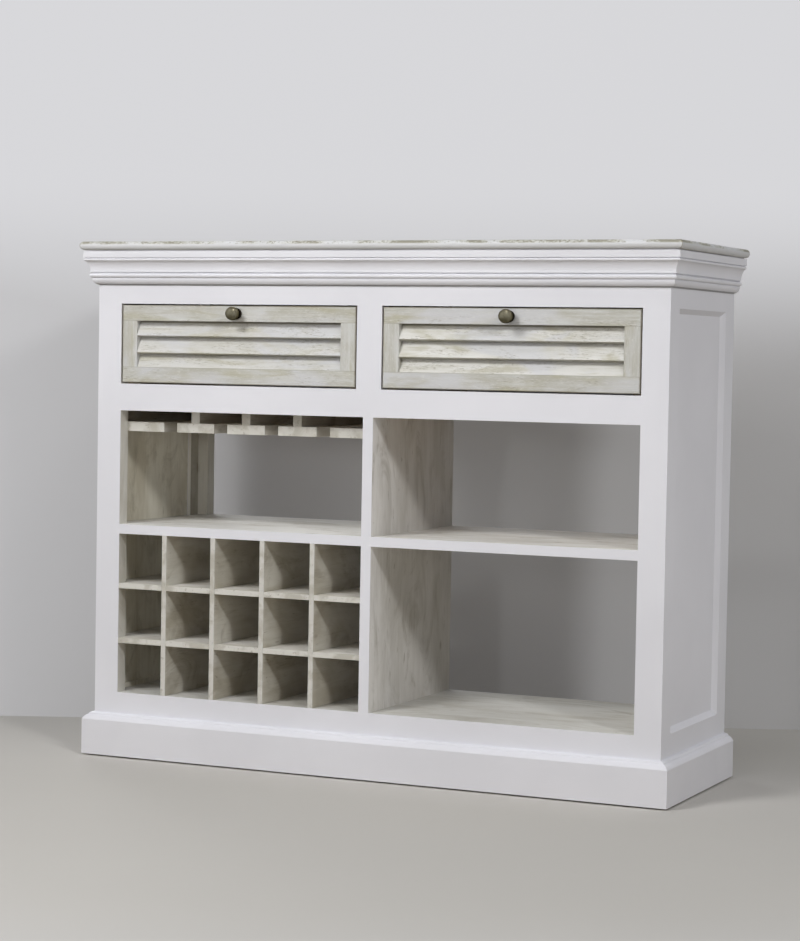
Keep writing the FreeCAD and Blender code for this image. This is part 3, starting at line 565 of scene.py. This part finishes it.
def both(name):
    return name + "_left", name + "_right"


def drawers(name):
    return "left_drawer_" + name, "right_drawer_" + name


def numbered(name, count):
    return ["%s_%d" % (name, i) for i in range(1, count + 1)]


UPRIGHTS = numbered("bottle_upright", 4)
GRID_SHELVES = numbered("bottle_shelf", 2)
SLATS = numbered("stemware_rail", 5)
MIDDLE_SLATS = SLATS[1:4]

dress(white_paint(), "cornice_front", *both("cornice"), "plinth_front", *both("plinth"), "front_top_rail",
      "front_mid_rail", "front_bottom_rail", "front_centre_stile", "rear_mid_rail", "rear_bottom_rail")
dress(post_finish(), *both("rear_post"))
dress(front_post_finish(), *both("front_post"))
dress(side_finish(), *both("side_panel"), *both("side_top_rail"), *both("side_bottom_rail"))
dress(board_finish("shelf_finish", "x", 31, **SHELF_WASH), *both("shelf"))
dress(board_finish("bottom_finish", "x", 35, **BOTTOM_WASH), "bottom_board")
dress(board_finish("partition_finish", "z", 33, shade_share=0.20, **PARTITION_WASH), "centre_partition")
dress(board_finish("rack_back_finish", "x", 47), "stemware_back")
dress(divider_finish("upright_finish", "y", 41, GRID_Y, UPRIGHT_EDGE, shade_share=0.28, **UPRIGHT_WASH), *UPRIGHTS)
dress(divider_finish("grid_shelf_finish", "x", 43, GRID_Y, GRID_SHELF_EDGE, **GRID_SHELF_WASH), *GRID_SHELVES)
dress(divider_finish("slat_finish", "y", 45, RACK_Y, SLAT_EDGE), *SLATS)
dress(top_finish(), "top_board")
dress(drawer_finish("drawer_rail", "x", 51, **RAIL_WEAR), *drawers("rails"))
dress(drawer_finish("drawer_stile", "z", 55, **STILE_WEAR), *drawers("stiles"))
dress(drawer_finish("left_louvre", "x", 59, **LEFT_LOUVRE, **LOUVRE_WEAR_AND_SHADE), "left_drawer_louvres")
dress(drawer_finish("right_louvre", "x", 57, **RIGHT_LOUVRE, **LOUVRE_WEAR_AND_SHADE), "right_drawer_louvres")
dress(raw_wood("raw_wood_x", "x", 61), *drawers("box_ends"), *drawers("bottom"), "back_panel", "drawer_deck")
dress(raw_wood("raw_wood_y", "y", 63), *drawers("box_sides"), "drawer_divider", "drawer_runners")
dress(antique_brass(), *drawers("knob"))
dress(zinc(), *drawers("knob_screw"))
dress(glide_plastic(), "floor_glides")

# The outer slats stand against the sides of the bay, so only the middle ones are rounded.
soften(SOFT_ARRIS, *UPRIGHTS, *GRID_SHELVES, *MIDDLE_SLATS)
soften(FINE_ARRIS, *drawers("louvres"), *drawers("box_sides"), *drawers("box_ends"))

# Stage: a pale floor and a pale backdrop that faces the camera, both fading to one background tone; the
# backdrop also has painted light, a glow that brightens it to the left.
FLOOR_REACH = 14.0
WALL_FOOT = Vector((0.0, 0.605, 0.0))
WALL_ALONG = Vector((0.911, 0.413, 0.0))
WALL_HALF_LENGTH = 9.0
WALL_HEIGHT = 6.0
FAR_FADE = (1.15, 2.6)
HIGH_FADE = (0.70, 1.15)
LEFT_GLOW = (-0.35, -1.5)
CLOUD_DEPTH = 2


def mixed_shader(s, share, a, b):
    n = s.node("ShaderNodeMixShader")
    s.feed(n.inputs[0], share)
    s.feed(n.inputs[1], a)
    s.feed(n.inputs[2], b)
    return n.outputs["Shader"]


def stage_finish(name, colour, bounce, one_sided):
    """Matt sheet: one colour where it is seen, another in the light it throws back, fading far away."""
    s = Shade(name)
    distance = s.node("ShaderNodeVectorMath")
    distance.operation = "LENGTH"
    s.feed(distance.inputs[0], s.place)
    cloud = s.noise(even(2.2), seed=1, rough=0.5, bend=0.2)
    shown = s.tones(cloud, [c - CLOUD_DEPTH for c in colour], [c + CLOUD_DEPTH for c in colour])
    path = s.node("ShaderNodeLightPath").outputs
    seen = s.either(path["Is Camera Ray"], path["Is Glossy Ray"], path["Is Transmission Ray"])
    diffuse = s.node("ShaderNodeBsdfDiffuse")
    s.feed(diffuse.inputs["Color"], s.mix(seen, rgb(*bounce), shown))
    glow = s.node("ShaderNodeEmission")
    glow.inputs["Color"].default_value = rgb(*BACKGROUND)
    high = s.times(s.step(s.z, *HIGH_FADE), 0.92)
    fade = s.either(s.step(distance.outputs["Value"], *FAR_FADE), high)
    # Painted light: the backdrop glows brighter to the left of the cabinet.
    if one_sided:
        fade = s.either(fade, s.times(s.step(s.x, *LEFT_GLOW), 0.6))
    result = mixed_shader(s, s.times(fade, seen), diffuse.outputs["BSDF"], glow.outputs["Emission"])
    if one_sided:
        behind = s.node("ShaderNodeNewGeometry").outputs["Backfacing"]
        result = mixed_shader(s, behind, result, s.node("ShaderNodeBsdfTransparent").outputs["BSDF"])
    s.show(result)
    return s.material


def sheet(name, corners, material):
    mesh = bpy.data.meshes.new(name)
    mesh.from_pydata(corners, [], [(0, 1, 2, 3)])
    mesh.materials.append(material)
    obj = bpy.data.objects.new(name, mesh)
    bpy.context.collection.objects.link(obj)
    return obj


floor_corners = [(-1, -1), (1, -1), (1, 1), (-1, 1)]
sheet("floor", [(x * FLOOR_REACH, y * FLOOR_REACH, 0.0) for x, y in floor_corners],
      stage_finish("floor_finish", FLOOR_SHOWN, FLOOR_BOUNCE, one_sided=False))
wall_left = WALL_FOOT - WALL_ALONG * WALL_HALF_LENGTH
wall_right = WALL_FOOT + WALL_ALONG * WALL_HALF_LENGTH
wall_rise = Vector((0.0, 0.0, WALL_HEIGHT))
wall = sheet("backdrop", [wall_left, wall_right, wall_right + wall_rise, wall_left + wall_rise],
             stage_finish("backdrop_finish", BACKDROP, BACKDROP, one_sided=True))
wall.visible_diffuse = False
wall.visible_glossy = False
wall.visible_transmission = False
wall.visible_shadow = False

# World: a faint cool fill, and the background tone for rays that see it.
AMBIENT_COLOUR = (0.93, 0.96, 1.0, 1.0)
AMBIENT_STRENGTH = 0.10

world = bpy.data.worlds.new("studio")
world.use_nodes = True
bpy.context.scene.world = world
tree = world.node_tree
tree.nodes.clear()
ambient = tree.nodes.new("ShaderNodeBackground")
ambient.inputs["Color"].default_value = AMBIENT_COLOUR
ambient.inputs["Strength"].default_value = AMBIENT_STRENGTH
shown = tree.nodes.new("ShaderNodeBackground")
shown.inputs["Color"].default_value = rgb(*BACKGROUND)
path = tree.nodes.new("ShaderNodeLightPath").outputs
seen = path["Is Camera Ray"]
for kind in ("Is Glossy Ray", "Is Transmission Ray"):
    either = tree.nodes.new("ShaderNodeMath")
    either.operation = "MAXIMUM"
    tree.links.new(seen, either.inputs[0])
    tree.links.new(path[kind], either.inputs[1])
    seen = either.outputs[0]
pick = tree.nodes.new("ShaderNodeMixShader")
tree.links.new(seen, pick.inputs[0])
tree.links.new(ambient.outputs[0], pick.inputs[1])
tree.links.new(shown.outputs[0], pick.inputs[2])
out = tree.nodes.new("ShaderNodeOutputWorld")
tree.links.new(pick.outputs[0], out.inputs["Surface"])


def lamp(name, place, target, size, watts, mirrored=False):
    """A round soft lamp; only a mirrored one shows in polished metal."""
    data = bpy.data.lights.new(name, "AREA")
    data.shape = "DISK"
    data.size = size
    data.energy = watts
    obj = bpy.data.objects.new(name, data)
    obj.location = place
    obj.rotation_euler = (Vector(target) - Vector(place)).to_track_quat("-Z", "Y").to_euler()
    obj.visible_glossy = mirrored
    bpy.context.collection.objects.link(obj)


lamp("key_softbox", place=(-1.45, -3.45, 3.15), target=(0.0, FACE_Y, 0.60), size=1.3, watts=27.0)
lamp("near_softbox", place=(-0.6, -1.8, 2.2), target=(0.0, FACE_Y, 0.75), size=0.7, watts=17.0)
lamp("left_softbox", place=(-1.3, -4.7, 1.6), target=(0.0, FACE_Y, 0.55), size=2.4, watts=49.0)
lamp("right_lamp", place=(4.2, -3.5, 3.6), target=(0.1, 0.0, 0.5), size=0.8, watts=97.0)
lamp("camera_lamp", place=(0.49, -3.57, 0.95), target=(0.0, FACE_Y, 0.5), size=0.30, watts=8.0)
lamp("top_softbox", place=(0.72, -0.70, 2.97), target=(0.0, FACE_Y, 0.85), size=0.4, watts=6.3, mirrored=True)
lamp("right_fill", place=(2.4, -0.3, 0.28), target=(SIDE_X, 0.0, 0.4), size=0.5, watts=6.3)
lamp("rear_softbox", place=(-3.2, 3.0, 1.0), target=(0.0, BACK_Y, 0.5), size=1.6, watts=72.0, mirrored=True)

# Camera: its place in metres, and its turns about x, y and z in degrees, from a view straight down.
EYE = Vector((1.907565, FACE_Y - 4.033203, 0.778363))
TILT = 87.30256
LEAN = -0.97943
HEADING = 24.58820
SENSOR_WIDTH_MM = 36.0
FOCAL_LENGTH_MM = 93.83
VIEW_DEPTH = 60.0

camera_data = bpy.data.cameras.new("camera")
camera_data.sensor_width = SENSOR_WIDTH_MM
camera_data.lens = FOCAL_LENGTH_MM
camera_data.clip_end = VIEW_DEPTH
camera = bpy.data.objects.new("camera", camera_data)
bpy.context.collection.objects.link(camera)
turn = Euler([math.radians(angle) for angle in (TILT, LEAN, HEADING)])
camera.matrix_world = Matrix.LocRotScale(EYE, turn, None)
bpy.context.scene.camera = camera
bpy.context.scene.view_settings.view_transform = "Standard"
